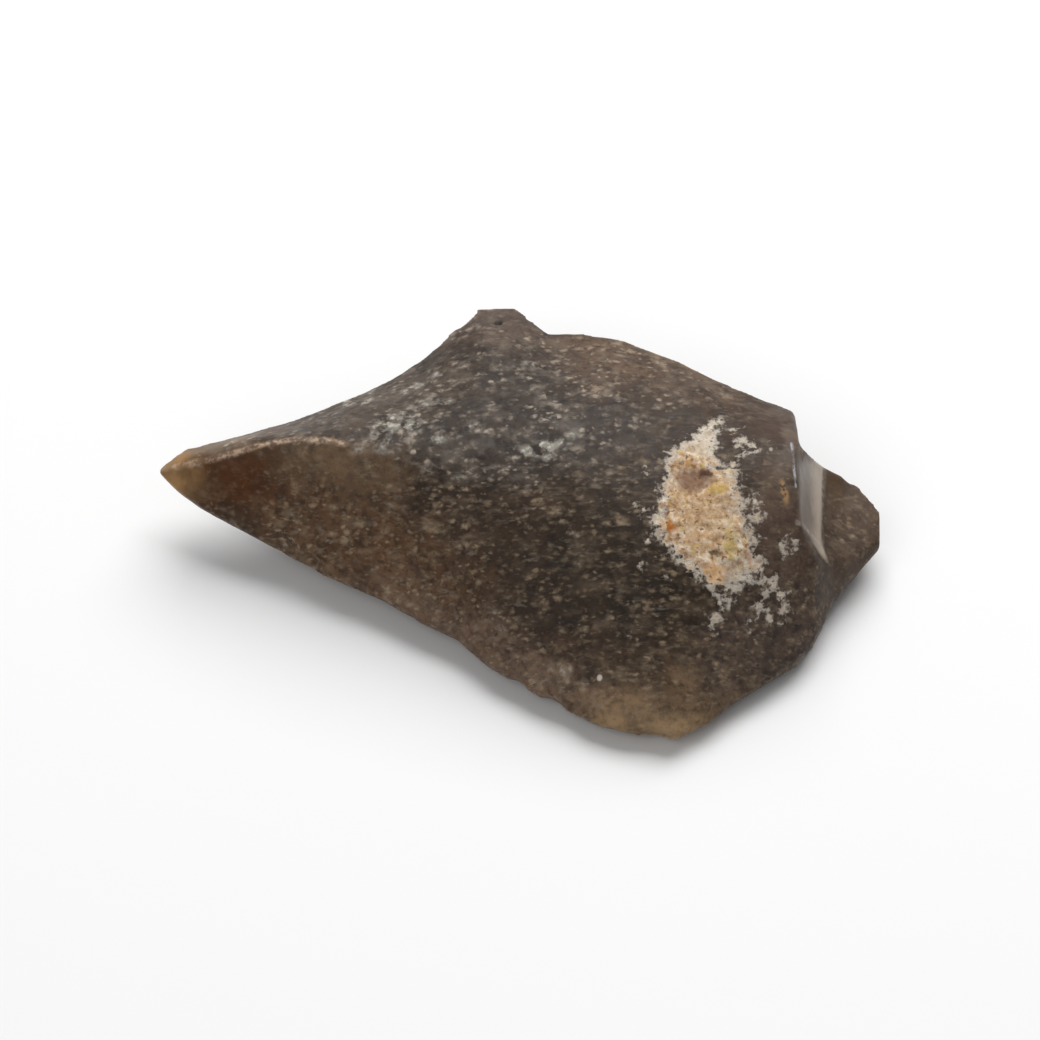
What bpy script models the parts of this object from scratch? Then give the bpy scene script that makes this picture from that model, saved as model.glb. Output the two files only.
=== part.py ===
# Flint flake: one piece of dark translucent flint, struck from a nodule, with a
# patch of the nodule's chalky cortex left on its front dorsal face.
# Metres, +Z up. The flake lies on a small flat spot of its ventral face, at z = 0.
# +X runs along its length, from the thin tip to the broken end.
# +Y points from the long thin edge to the blunt back, where the blow that made it fell.

import math
import random

import bmesh
import bpy
from mathutils import Matrix, Quaternion, Vector, noise

MM = 0.001

# Driving sizes, in millimetres
LENGTH = 55.0
WIDTH = 37.5
BELLY_DROP = 1.5        # how far the ventral face would sag below its resting plane
FLAT_SPOT_CUT = 0.33    # how much of that sag the flat resting spot takes off
EDGE_THICKNESS = 0.7    # of the thin front edge, before it is chipped

# Sections across the flake, from the tip to the broken end, in millimetres:
# front edge (x, y, z), crest where the two dorsal faces would meet (y, z),
# back edge (x, y, z), height of the blunt back, and how tight the crest is.
SECTIONS = (
    ((-27.3, 5.0, 5.7), (5.5, 6.2), (-27.3, 6.4, 5.9), 0.5, 3.0),
    ((-24.2, 3.0, 4.8), (5.2, 7.8), (-25.4, 7.4, 6.4), 0.9, 6.0),
    ((-20.0, 0.8, 3.9), (5.1, 9.7), (-21.8, 8.2, 6.8), 1.5, 6.0),
    ((-15.1, -2.1, 3.2), (4.5, 11.2), (-16.8, 9.8, 7.2), 2.3, 4.4),
    ((-10.1, -4.5, 2.8), (3.4, 12.7), (-10.3, 13.7, 7.2), 2.9, 3.0),
    ((-7.6, -6.3, 2.6), (2.6, 13.2), (-7.2, 15.9, 7.6), 3.3, 2.6),
    ((-4.5, -8.0, 2.4), (2.0, 13.6), (-5.8, 17.4, 7.9), 3.8, 2.4),
    ((-2.3, -10.3, 2.2), (1.6, 13.9), (-3.1, 20.5, 8.1), 4.2, 2.3),
    ((1.4, -12.9, 2.0), (1.2, 14.1), (-0.3, 20.6, 8.2), 4.3, 2.2),
    ((6.0, -15.7, 1.9), (0.8, 14.2), (2.4, 17.6, 8.4), 4.4, 2.2),
    ((11.3, -17.2, 1.8), (0.6, 14.2), (7.0, 17.4, 8.5), 4.5, 2.2),
    ((14.2, -15.4, 1.8), (0.6, 14.0), (12.3, 14.6, 8.6), 4.6, 2.3),
    ((16.2, -13.5, 1.8), (0.9, 13.7), (16.9, 11.7, 8.5), 4.6, 2.4),
    ((20.9, -10.1, 1.9), (1.4, 13.2), (21.0, 10.1, 8.0), 4.5, 2.4),
    ((22.4, -8.2, 2.1), (1.8, 12.8), (22.2, 8.7, 7.0), 4.0, 2.3),
    ((23.9, -4.4, 2.3), (2.0, 11.4), (23.8, 7.0, 5.6), 2.9, 2.0),
    ((25.6, -2.2, 2.6), (2.0, 8.9), (26.0, 5.5, 4.4), 1.9, 1.8),
    ((27.6, 0.4, 3.0), (2.0, 5.2), (27.7, 3.4, 3.8), 0.8, 1.4),
)
SECTION_SPACING = 1.35  # between the lofted sections
DORSAL_POINTS = 19
BACK_POINTS = 4
BACK_HOLLOW = 0.05      # how hollow the blunt back is, as a share of its height
VENTRAL_POINTS = 14

# The blow that struck the flake off: ripples of the ventral face run round it.
PERCUSSION_POINT = (-1.5, 18.5)
RIPPLE_LENGTH = 4.6
RIPPLE_HEIGHT = 0.16
BULB_RADIUS = 7.5
BULB_HEIGHT = 0.9

# Long waves of the dorsal faces
WAVE_LENGTH = 9.0
WAVE_HEIGHT = 0.35

# Earlier flakes struck off the nodule, and the breaks at the ends, in millimetres:
# where each blow fell, the way out of the scar, its reach, depth and ripple.
SCARS = {
    "back_scar_right": ((16.4, 12.2, 5.4), (0.42, 0.80, -0.42), 5.0, 0.45, 0.05),
    "back_scar_middle": ((8.4, 17.2, 5.2), (0.16, 0.88, -0.44), 4.6, 0.4, 0.05),
    "back_scar_left": ((-13.2, 12.6, 5.0), (-0.45, 0.84, -0.30), 5.4, 0.5, 0.05),
    "bulb_scar": ((3.4, 15.6, 0.2), (0.10, 0.30, -0.95), 5.0, 0.4, 0.03),
}
SCAR_TURNS = 44
SCAR_RINGS = 9
SCAR_SPREAD = 1.7       # how far past its reach a scar's surface goes on rising
RIPPLES_IN_SCAR = 2.5
SCAR_LOBES = 0.3        # how far a scar's outline wanders from round

# The step broken into the right-hand end: a steep wall above a gently falling facet
STEP_CORNER = (23.1, 5.3)     # x and z of the line where they meet
STEP_WALL = (-0.43, 1.0)      # the way up the wall, in x and z
STEP_SKEW = 0.018             # how much steeper the wall gets per millimetre towards the back
STEP_FLOOR = (1.0, -0.40)     # the way out along the facet
STEP_RUN = 10.0               # length of each
STEP_TILT = 0.08              # how much the step rises per millimetre towards the back
STEP_TIGHTNESS = 9.0          # how sharp the corner is
STEP_POINTS = 15
STEP_SPACING = 1.8            # along y
STEP_UNEVENNESS = 0.25
STEP_WAVE = 4.0

# Small chips knocked off along the edge
FRONT_CHIPS = 24
BACK_CHIPS = 8
CHIP_RADII = (1.0, 2.8)
CHIP_BITES = (0.1, 0.3)
CHIP_STRETCH = (0.6, 1.5)
CHIP_RUN = (0.14, 0.96)  # share of each edge that is chipped
CHIP_SEED = 11

# The rough hollow that still holds cortex: a line down the front dorsal face,
# with the half width of the patch beside each of its points (x, y, half width)
CORTEX_LINE = ((15.8, 5.4, 0.6), (14.4, 2.6, 1.9), (13.2, -0.8, 2.9), (15.0, -4.0, 2.3), (17.6, -7.2, 1.5))
CORTEX_PITS = 18
CORTEX_PIT_RADII = (1.7, 2.8)
CORTEX_PIT_DEPTHS = (0.16, 0.3)
CORTEX_SEED = 4

FLINT_COLOUR = (0.085, 0.066, 0.052, 1.0)
FLINT_ROUGHNESS = 0.42


def clear_scene():
    for obj in list(bpy.data.objects):
        bpy.data.objects.remove(obj)


def flint_material():
    flint = bpy.data.materials.new("flint")
    flint.use_nodes = True
    shader = flint.node_tree.nodes["Principled BSDF"]
    shader.inputs["Base Color"].default_value = FLINT_COLOUR
    shader.inputs["Roughness"].default_value = FLINT_ROUGHNESS
    shader.inputs["Metallic"].default_value = 0.0
    return flint


def mesh_object(name, bm):
    mesh = bpy.data.meshes.new(name)
    bm.to_mesh(mesh)
    bm.free()
    obj = bpy.data.objects.new(name, mesh)
    bpy.context.scene.collection.objects.link(obj)
    return obj


def smooth_between(before, start, end, after, share):
    """A smooth curve from start to end that keeps the direction of its neighbours."""
    a = 2 * start
    b = end - before
    c = 2 * before - 5 * start + 4 * end - after
    d = 3 * start - before - 3 * end + after
    return 0.5 * (a + b * share + c * share ** 2 + d * share ** 3)


def conic(start, apex, end, tightness, count):
    """Points of an arc whose end tangents meet at apex. A higher tightness hugs the apex."""
    points = []
    for i in range(count):
        t = i / (count - 1)
        near, middle, far = (1 - t) ** 2, 2 * tightness * t * (1 - t), t * t
        points.append((start * near + apex * middle + end * far) / (near + middle + far))
    return points


def dorsal_wave(point):
    """Height of the long soft waves at a point of the dorsal side."""
    return WAVE_HEIGHT * noise.noise(point / WAVE_LENGTH + Vector((3.1, 0.4, 7.7)))


def ventral_relief(point):
    """How far the ventral face stands down at a point: the bulb, and ripples round the blow."""
    from_blow = math.hypot(point.x - PERCUSSION_POINT[0], point.y - PERCUSSION_POINT[1])
    bulb = BULB_HEIGHT * math.exp(-((from_blow - 0.6 * BULB_RADIUS) / BULB_RADIUS) ** 2)
    ripple = RIPPLE_HEIGHT * math.sin(2 * math.pi * from_blow / RIPPLE_LENGTH)
    return bulb + ripple * min(1.0, from_blow / BULB_RADIUS)


def edge_fade(share):
    """0 at a section's edges and 1 between them, so that relief leaves the outline alone."""
    return min(1.0, 4 * share * (1 - share) * 1.6)


def section_points(front, crest, back, back_height, tightness):
    """One closed section across the flake: dorsal faces, blunt back, ventral face."""
    apex = Vector(((front.x + back.x) / 2, crest.x, crest.y))
    dorsal = conic(front, apex, back, tightness, DORSAL_POINTS)
    for i, point in enumerate(dorsal):
        point.z += dorsal_wave(point) * edge_fade(i / (DORSAL_POINTS - 1))
    under_back = back + Vector((0, -0.35 * back_height, -back_height))
    under_front = front + Vector((0, 0.5 * EDGE_THICKNESS, -EDGE_THICKNESS))
    if under_front.z > front.z - 0.1:
        under_front.z = front.z - 0.1
    hollow = Vector((0, -BACK_HOLLOW * back_height, 0))
    wall = conic(back, (back + under_back) / 2 + hollow, under_back, 1.0, BACK_POINTS)[1:-1]
    belly = (under_back + under_front) / 2
    belly.z = -BELLY_DROP - 0.35 * (under_back.z + under_front.z) / 2
    reach = min(1.0, (back - front).length / (0.45 * WIDTH))
    belly.z += (1 - reach) * (min(under_back.z, under_front.z) - belly.z)
    ventral = conic(under_back, belly, under_front, 1.0, VENTRAL_POINTS)
    for i, point in enumerate(ventral):
        point.z -= ventral_relief(point) * edge_fade(i / (VENTRAL_POINTS - 1)) * reach
    return dorsal + wall + ventral


def between_sections(index, share):
    """The section at a share of the way from SECTIONS[index] to the next one."""
    last = len(SECTIONS) - 1
    near, far = SECTIONS[index], SECTIONS[index + 1]
    before, after = SECTIONS[max(index - 1, 0)], SECTIONS[min(index + 2, last)]
    front = Vector(near[0]).lerp(Vector(far[0]), share)
    back = Vector(near[2]).lerp(Vector(far[2]), share)
    crest = smooth_between(*(Vector(s[1]) for s in (before, near, far, after)), share)
    back_height = smooth_between(before[3], near[3], far[3], after[3], share)
    tightness = smooth_between(before[4], near[4], far[4], after[4], share)
    return section_points(front, crest, back, back_height, tightness)


def loft(bm, rings):
    """A closed body through rings of as many points each."""
    loops = [[bm.verts.new(point * MM) for point in ring] for ring in rings]
    for loop, following in zip(loops, loops[1:]):
        for i in range(len(loop)):
            j = (i + 1) % len(loop)
            bm.faces.new((loop[i], loop[j], following[j], following[i]))
    bm.faces.new(loops[0][::-1])
    bm.faces.new(loops[-1])
    bmesh.ops.triangulate(bm, faces=bm.faces[:])
    bmesh.ops.recalc_face_normals(bm, faces=bm.faces[:])


def blank():
    """The flake before its edge scars: sections lofted from the tip to the broken end."""
    rings = []
    for index in range(len(SECTIONS) - 1):
        run = (Vector(SECTIONS[index + 1][0]) - Vector(SECTIONS[index][0])).length
        back_run = (Vector(SECTIONS[index + 1][2]) - Vector(SECTIONS[index][2])).length
        steps = max(2, round((run + back_run) / 2 / SECTION_SPACING))
        rings += [between_sections(index, step / steps) for step in range(steps)]
    rings.append(between_sections(len(SECTIONS) - 2, 1.0))
    bm = bmesh.new()
    loft(bm, rings)
    return mesh_object("flint_flake", bm)


def as_cutter(obj):
    obj.hide_render = True
    obj.display_type = "WIRE"
    return obj


def scar_cutter(name, blow, outward, reach, depth, ripple):
    """What a blow takes off: a rippled bowl of revolution about the way out of the scar."""
    profile = []
    for ring in range(SCAR_RINGS + 1):
        share = SCAR_SPREAD * ring / SCAR_RINGS
        wave = ripple * math.sin(2 * math.pi * RIPPLES_IN_SCAR * share) * min(1.0, 3 * share)
        profile.append(Vector((share * reach, 0, depth * (share ** 2 - 1) + wave)))
    top = profile[-1].z + 1.2 * reach
    profile += [Vector((profile[-1].x, 0, top)), Vector((0, 0, top))]
    bm = bmesh.new()
    verts = [bm.verts.new(point * MM) for point in profile]
    edges = [bm.edges.new(pair) for pair in zip(verts, verts[1:])]
    bmesh.ops.spin(
        bm, geom=verts + edges, axis=(0, 0, 1), cent=(0, 0, 0),
        angle=2 * math.pi, steps=SCAR_TURNS, use_merge=True,
    )
    bmesh.ops.remove_doubles(bm, verts=bm.verts[:], dist=1e-7)
    for vert in bm.verts:
        way = Vector((vert.co.x, vert.co.y, 0)).normalized() + Vector(blow)
        vert.co.xy *= 1 + SCAR_LOBES * noise.noise(way)
    bmesh.ops.recalc_face_normals(bm, faces=bm.faces[:])
    cutter = mesh_object(name, bm)
    turn = Vector((0, 0, 1)).rotation_difference(Vector(outward))
    cutter.matrix_world = Matrix.Translation(Vector(blow) * MM) @ turn.to_matrix().to_4x4()
    return as_cutter(cutter)


def step_cutter():
    """What the break at the right-hand end took off: a long prism with an uneven wall and floor."""
    rows = round(WIDTH / STEP_SPACING)
    rings = []
    for row in range(rows + 1):
        y = WIDTH * (row / rows - 0.5)
        corner = Vector((STEP_CORNER[0], y, STEP_CORNER[1] + STEP_TILT * y))
        wall_top = corner + Vector((STEP_WALL[0] + STEP_SKEW * y, 0, STEP_WALL[1])) * STEP_RUN
        floor_end = corner + Vector((STEP_FLOOR[0], 0, STEP_FLOOR[1])) * STEP_RUN
        ring = conic(wall_top, corner, floor_end, STEP_TIGHTNESS, STEP_POINTS)
        for point in ring[1:-1]:
            point.x += STEP_UNEVENNESS * noise.noise(point / STEP_WAVE + Vector((2.3, 8.1, 0.7)))
            point.z += STEP_UNEVENNESS * noise.noise(point / STEP_WAVE + Vector((5.9, 1.3, 3.3)))
        rings.append(ring + [Vector((floor_end.x, y, wall_top.z))])
    bm = bmesh.new()
    loft(bm, rings)
    return as_cutter(mesh_object("end_step", bm))


def edge_point(share, on_back):
    """A point of the front or back edge at a share of the number of sections."""
    place = share * (len(SECTIONS) - 1)
    index = min(int(place), len(SECTIONS) - 2)
    side = 2 if on_back else 0
    near, far = Vector(SECTIONS[index][side]), Vector(SECTIONS[index + 1][side])
    return near.lerp(far, place - index)


def ball_cutter(name, place, radii, turn):
    bm = bmesh.new()
    bmesh.ops.create_icosphere(bm, subdivisions=2, radius=1.0)
    bmesh.ops.scale(bm, vec=Vector(radii) * MM, verts=bm.verts[:])
    ball = mesh_object(name, bm)
    ball.matrix_world = Matrix.Translation(place * MM) @ turn.to_matrix().to_4x4()
    return as_cutter(ball)


def chip_cutters(on_back, count):
    """Stretched balls that nibble the front or the back edge."""
    draw = random.Random(CHIP_SEED + on_back)
    middle = Vector((1.0, 1.0, 3.0))
    first, last = CHIP_RUN
    cutters = []
    for chip in range(count):
        share = first + (last - first) * (chip + draw.uniform(0.2, 0.8)) / count
        radius = draw.uniform(*CHIP_RADII)
        edge = edge_point(share, on_back)
        outward = (edge - middle).normalized()
        outward.z = draw.uniform(-0.6, 0.5)
        outward.normalize()
        radii = (radius * draw.uniform(*CHIP_STRETCH), radius * draw.uniform(*CHIP_STRETCH), radius)
        turn = outward.to_track_quat("Z", "Y")
        place = edge + outward * (radius - draw.uniform(*CHIP_BITES))
        side = "back" if on_back else "front"
        cutters.append(ball_cutter(f"{side}_chip_{chip}", place, radii, turn))
    return cutters


def surface_at(flake, aim, outward):
    """Where a line through aim, coming in against outward, meets the flake, and the normal there."""
    hit, place, normal, _ = flake.ray_cast((aim + outward * LENGTH) * MM, -outward)
    if not hit:
        raise ValueError(f"no flint at {tuple(aim)}")
    return place / MM, normal


def cortex_cutters(flake):
    """Flat pits that together sink the rough hollow where the cortex is left."""
    draw = random.Random(CORTEX_SEED)
    cutters = []
    for pit in range(CORTEX_PITS):
        place = (pit + draw.random()) / CORTEX_PITS * (len(CORTEX_LINE) - 1)
        index = min(int(place), len(CORTEX_LINE) - 2)
        x, y, half_width = Vector(CORTEX_LINE[index]).lerp(CORTEX_LINE[index + 1], place - index)
        radius = min(draw.uniform(*CORTEX_PIT_RADII), half_width + 0.8)
        aside = draw.uniform(0.2, 1) * (1 if pit % 2 else -1)
        x += aside * max(0.0, half_width - 0.6 * radius)
        floor, outward = surface_at(flake, Vector((x, y, 0)), Vector((0, 0, 1)))
        depth = draw.uniform(*CORTEX_PIT_DEPTHS)
        thickness = 0.35 * radius
        turn = outward.to_track_quat("Z", "Y") @ Quaternion((0, 0, 1), draw.uniform(0, math.pi))
        radii = (radius * draw.uniform(0.8, 1.3), radius, thickness)
        centre = floor + outward * (thickness - depth)
        cutters.append(ball_cutter(f"cortex_pit_{pit}", centre, radii, turn))
    return cutters


def scar_cutters(flake):
    """The larger scars, each set where its blow met the blank."""
    cutters = []
    for name, (aim, outward, *shape) in SCARS.items():
        place, _ = surface_at(flake, Vector(aim), Vector(outward).normalized())
        cutters.append(scar_cutter(name, place, outward, *shape))
    return cutters


def ground_cutter(flake):
    """All below the flat resting spot, which takes a little off the lowest of the flake."""
    bm = bmesh.new()
    bmesh.ops.create_cube(bm, size=2 * LENGTH * MM)
    cutter = mesh_object("ground", bm)
    lowest = min(v.co.z for v in flake.data.vertices)
    cutter.location.z = lowest + (FLAT_SPOT_CUT - LENGTH) * MM
    return as_cutter(cutter)


def cut(flake, cutter):
    boolean = flake.modifiers.new(cutter.name, "BOOLEAN")
    boolean.operation = "DIFFERENCE"
    boolean.solver = "EXACT"
    boolean.object = cutter


def finish_flake(flake):
    """Keeps the cut shape as the flake's own mesh, stood on its flat spot about the origin."""
    bpy.context.view_layer.update()
    graph = bpy.context.evaluated_depsgraph_get()
    mesh = bpy.data.meshes.new_from_object(flake.evaluated_get(graph))
    flake.modifiers.clear()
    flake.data = mesh
    lowest = Vector([min(v.co[i] for v in mesh.vertices) for i in range(3)])
    highest = Vector([max(v.co[i] for v in mesh.vertices) for i in range(3)])
    middle = (lowest + highest) / 2
    mesh.transform(Matrix.Translation((-middle.x, -middle.y, -lowest.z)))
    mesh.shade_smooth()
    mesh.set_sharp_from_angle(angle=math.radians(25))
    mesh.materials.clear()
    mesh.materials.append(flint_material())


def main():
    clear_scene()
    flake = blank()
    bpy.context.view_layer.update()
    cutters = cortex_cutters(flake)
    cutters.append(step_cutter())
    cutters += scar_cutters(flake)
    cutters += chip_cutters(False, FRONT_CHIPS) + chip_cutters(True, BACK_CHIPS)
    cutters.append(ground_cutter(flake))
    for cutter in cutters:
        cut(flake, cutter)
    finish_flake(flake)
    for cutter in cutters:
        bpy.data.objects.remove(cutter)


main()
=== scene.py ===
# A struck flint flake lying on a white table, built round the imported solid.
# Metres, +Z up, tip towards -X, blunt back towards +Y, as in the solid.

import math

import bpy
import numpy as np
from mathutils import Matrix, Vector
from mathutils.bvhtree import BVHTree
from mathutils.kdtree import KDTree


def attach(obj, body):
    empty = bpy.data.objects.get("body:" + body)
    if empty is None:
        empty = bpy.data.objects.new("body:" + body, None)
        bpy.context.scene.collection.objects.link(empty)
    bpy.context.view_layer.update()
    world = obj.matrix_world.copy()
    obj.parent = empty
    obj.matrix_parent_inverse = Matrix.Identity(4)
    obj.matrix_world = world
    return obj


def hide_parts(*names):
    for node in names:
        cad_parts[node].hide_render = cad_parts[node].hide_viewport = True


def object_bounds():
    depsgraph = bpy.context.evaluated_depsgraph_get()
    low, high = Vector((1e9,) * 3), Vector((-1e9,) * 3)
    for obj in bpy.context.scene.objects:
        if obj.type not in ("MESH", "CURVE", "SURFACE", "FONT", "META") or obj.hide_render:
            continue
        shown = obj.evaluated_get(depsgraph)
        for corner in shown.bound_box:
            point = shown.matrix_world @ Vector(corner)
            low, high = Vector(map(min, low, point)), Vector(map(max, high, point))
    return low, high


mm = 0.001

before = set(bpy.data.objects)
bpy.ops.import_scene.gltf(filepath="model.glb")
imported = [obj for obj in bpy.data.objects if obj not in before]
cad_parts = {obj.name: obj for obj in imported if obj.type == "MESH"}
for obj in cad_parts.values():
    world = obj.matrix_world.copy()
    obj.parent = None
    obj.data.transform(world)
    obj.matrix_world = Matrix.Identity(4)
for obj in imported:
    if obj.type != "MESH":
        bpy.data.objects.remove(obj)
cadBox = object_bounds()
print("frame loaded")

stone = {
    "voxel": 0.205,         # size of the remeshed faces, mm
    "arrisAngle": 24.0,     # edges of the solid sharper than this stay crisp, degrees
    "arrisStep": 0.15,      # spacing of the points along such edges, mm
    "arrisFade": 0.6,       # how far from such an edge the smoothing starts, mm
    "smoothTurns": 22,
    "tableFade": 0.5,       # no relief nearer to the table than this, mm
    "thinReach": 2.6,       # thickness at which flint stops glowing, mm
    "outlineReach": 4.0,    # how far the outlines below are measured, mm
    "tipPoint": (-27.5, 3.5, 6.1),  # the tip is drawn in towards this point
    "tipLength": 2.0,
    "tipKeep": 0.12,        # how much of its height stays at the very end
    "tipDrift": (-0.12, 0.42),      # where its middle runs, y and z for each mm of x
    "arrisReach": 0.5,      # how far from an edge the relief is held back, mm
    "crustRim": 0.9,        # width of the band where the crust fades out, mm
    "footTop": -7.0,        # below this y the patch is broken up at its foot
    "footLoss": 0.5,
    "smearTurns": 6,        # how far the glow of thin flint spreads
    "wallFoot": 4.5,        # the wall's colour stays above this height, mm
}

# Reliefs over the smoothed solid: size and height in mm, and the vertex group they follow
reliefs = [
    {"name": "swell", "size": 5.6, "height": 0.20, "depth": 1, "group": "body"},
    {"name": "dimple", "size": 2.1, "height": 0.08, "depth": 2, "group": "body"},
    {"name": "grain", "size": 0.62, "height": 0.04, "depth": 2, "group": "body"},
    {"name": "nibble", "size": 0.9, "height": 0.05, "depth": 2, "group": "arris"},
    {"name": "crust", "size": 0.80, "height": 0.36, "depth": 3, "group": "cortex"},
    {"name": "crustPits", "size": 0.42, "height": 0.22, "depth": 2, "group": "cortex"},
]

# Faint ripples spreading from old blows: place, wave, height and reach in mm
ripples = [
    {"blow": (-16.0, 14.0, 8.0), "wave": 3.3, "height": 0.04, "reach": 24.0},
    {"blow": (6.0, -19.0, 1.0), "wave": 2.4, "height": 0.025, "reach": 13.0},
]

# Small hollows: place, radius and depth in mm
hollows = [
    {"name": "knobPit", "at": (-1.7, 16.5, 8.8), "radius": 0.5, "depth": 0.35},
    {"name": "crumbHole", "at": (18.7, -8.9, 7.2), "radius": 0.5, "depth": 0.3},
    {"name": "cortexHole", "at": (14.5, -6.8, 8.7), "radius": 0.5, "depth": 0.3},
    {"name": "cortexDip", "at": (13.1, -1.3, 11.0), "radius": 1.7, "depth": 0.25},
]

# What is broken off behind the step: the corners of a block, lower and upper in turn, mm
cornerCut = [
    (21.1, 7.56, 1.5), (21.1, 1.24, 12.5), (21.1, 14.0, 1.5), (21.1, 14.0, 12.5),
    (29.0, 4.12, 1.5), (29.0, -2.20, 12.5), (29.0, 14.0, 1.5), (29.0, 14.0, 12.5),
]

# Outlines on the upper faces, seen from above, mm
cortexOutline = [
    (15.3, 5.0), (14.9, 3.0), (14.7, 1.0), (15.1, -0.4), (15.6, -0.5), (16.1, 0.1),
    (16.5, -2.1), (16.6, -3.7), (17.2, -4.8), (17.6, -6.3), (18.2, -6.8), (18.3, -7.6),
    (17.7, -8.2), (16.8, -8.7), (16.0, -9.7), (14.7, -11.2), (14.1, -11.9), (14.0, -11.1),
    (14.8, -9.6), (13.9, -9.6), (13.3, -9.2), (12.1, -8.5), (11.8, -7.4), (10.5, -6.6),
    (10.0, -5.5), (9.9, -4.8), (10.2, -3.7), (10.8, -1.7), (10.9, 0.0), (11.4, 1.1),
    (12.8, 2.3), (13.5, 3.6),
]
backOutline = [
    (-27.5, 3.6), (-25.2, 3.3), (-21.3, 3.2), (-16.7, 3.3), (-14.9, 2.9), (-13.1, 2.3),
    (-10.6, 1.2), (-7.7, 0.1), (-2.9, -1.8), (-0.6, -1.8), (2.7, -1.7), (6.5, 0.4),
    (8.9, 2.0), (12.0, 5.5), (14.0, 9.0), (13.0, 14.0), (6.0, 22.0), (-10.0, 24.0),
    (-32.0, 12.0),
]
wallOutline = [
    (23.3, 5.4), (22.3, 3.6), (21.5, 2.0), (20.95, 0.4), (20.95, -1.0), (20.8, -3.4), (20.7, -4.1),
    (21.6, -4.3), (23.1, -4.8), (22.8, -3.5), (22.9, -1.0), (23.1, 1.5), (23.35, 3.9),
]

# Crumbs of cortex beside the patch: x, y and radius in mm
crumbs = [
    (18.2, -8.2, 0.70), (18.9, -8.1, 0.66), (19.5, -8.5, 0.70), (19.9, -8.9, 0.60),
    (19.4, -9.4, 0.66), (18.6, -9.8, 0.70), (17.9, -9.4, 0.70), (17.1, -10.8, 0.50),
    (14.9, -9.8, 0.70), (14.5, -10.8, 0.70), (14.2, -11.6, 0.55),
    (16.9, 0.9, 0.34), (16.6, 2.0, 0.32), (17.6, 1.5, 0.34), (18.9, 1.2, 0.20),
    (16.3, 3.4, 0.24), (17.5, -3.2, 0.34), (17.7, -4.2, 0.30), (19.8, -5.8, 0.18),
    (20.5, -5.3, 0.12), (9.6, -6.3, 0.24), (10.9, -8.9, 0.30), (8.8, -8.2, 0.20),
    (9.4, -0.8, 0.20), (9.0, -4.1, 0.16), (8.0, -12.4, 0.18), (12.3, -9.9, 0.26),
]

# Lines that follow an edge: places in mm, how wide the line is, and its colour. The solid
# stays crisp along some of them.
edgeLines = [
    {"name": "ridge", "width": 0.28, "crisp": True, "through": [
        (-27.5, 3.6, 6.2), (-26.6, 3.6, 6.5), (-25.2, 3.3, 7.2), (-23.4, 3.2, 7.9),
        (-21.3, 3.2, 8.8), (-19.1, 3.4, 9.5), (-16.7, 3.3, 10.1), (-14.9, 2.9, 10.5),
        (-13.1, 2.3, 10.7)]},
    # painted shade: a dark line in the crease at the foot of the wall
    {"name": "foot", "width": 0.26, "crisp": True, "tint": (50, 38, 29), "share": 0.7,
     "through": [(23.4, 8.5, 6.0), (23.3, 3.9, 6.1), (23.1, 1.5, 6.1), (22.9, -1.0, 5.9),
                 (22.9, -3.0, 5.8)]},
    # painted shade: a dark line in the hollow just under the wall's upper edge
    {"name": "cleftShade", "width": 0.17, "tint": (74, 66, 60), "share": 0.75,
     "through": [(20.9, 2.0, 10.6), (20.9, -1.0, 10.3), (20.8, -3.1, 9.7)]},
    {"name": "lip", "width": 0.24, "crisp": True, "tint": (172, 160, 148), "share": 0.60,
     "through": [(20.7, -4.1, 9.1), (21.6, -3.9, 7.9), (22.7, -3.7, 6.0), (23.1, -4.6, 5.2)]},
    # painted highlight: a bright bluish line along the wall's upper edge
    {"name": "glint", "width": 0.15, "tint": (192, 197, 204), "share": 0.8,
     "through": [(20.45, 2.2, 11.0), (20.5, 0.9, 11.0), (20.55, -0.6, 10.9),
                 (20.7, -1.8, 10.5)]},
    {"name": "endArc", "width": 0.16, "tint": (118, 101, 82), "share": 0.45,
     "through": [(23.3, 0.4, 5.9), (24.0, 1.3, 5.4), (24.9, 1.9, 4.8), (25.8, 2.4, 4.4)]},
]


def makeActive(obj):
    if bpy.context.mode != "OBJECT":
        bpy.ops.object.mode_set(mode="OBJECT")
    bpy.ops.object.select_all(action="DESELECT")
    obj.select_set(True)
    bpy.context.view_layer.objects.active = obj


def applyModifier(obj, kind, name, **settings):
    makeActive(obj)
    modifier = obj.modifiers.new(name, kind)
    for key, value in settings.items():
        setattr(modifier, key, value)
    bpy.ops.object.modifier_apply(modifier=name)


def places(obj):
    flat = np.empty(len(obj.data.vertices) * 3, dtype=np.float32)
    obj.data.vertices.foreach_get("co", flat)
    return flat.reshape(-1, 3).astype(float) / mm


def setPlaces(obj, points):
    obj.data.vertices.foreach_set("co", (points * mm).astype(np.float32).ravel())
    obj.data.update()


def outwards(obj):
    flat = np.empty(len(obj.data.vertices) * 3, dtype=np.float32)
    obj.data.vertex_normals.foreach_get("vector", flat)
    return flat.reshape(-1, 3).astype(float)


def setGroup(obj, name, weights):
    group = obj.vertex_groups.new(name=name)
    steps = np.round(np.clip(weights, 0, 1) * 60).astype(int)
    for step in range(1, 61):  # one call for all the points of a step
        chosen = np.nonzero(steps == step)[0]
        if len(chosen):
            group.add(chosen.tolist(), step / 60, "REPLACE")


def setAttribute(obj, name, values):
    attribute = obj.data.attributes.new(name, "FLOAT", "POINT")
    attribute.data.foreach_set("value", values.astype(np.float32))


def mergedCopy(nodeName, name):
    piece = bpy.data.objects.new(name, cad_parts[nodeName].data.copy())
    bpy.context.scene.collection.objects.link(piece)
    makeActive(piece)
    bpy.ops.object.mode_set(mode="EDIT")
    bpy.ops.mesh.select_all(action="SELECT")
    bpy.ops.mesh.remove_doubles(threshold=0.002 * mm)
    bpy.ops.mesh.normals_make_consistent(inside=False)
    bpy.ops.object.mode_set(mode="OBJECT")
    return piece


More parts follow.
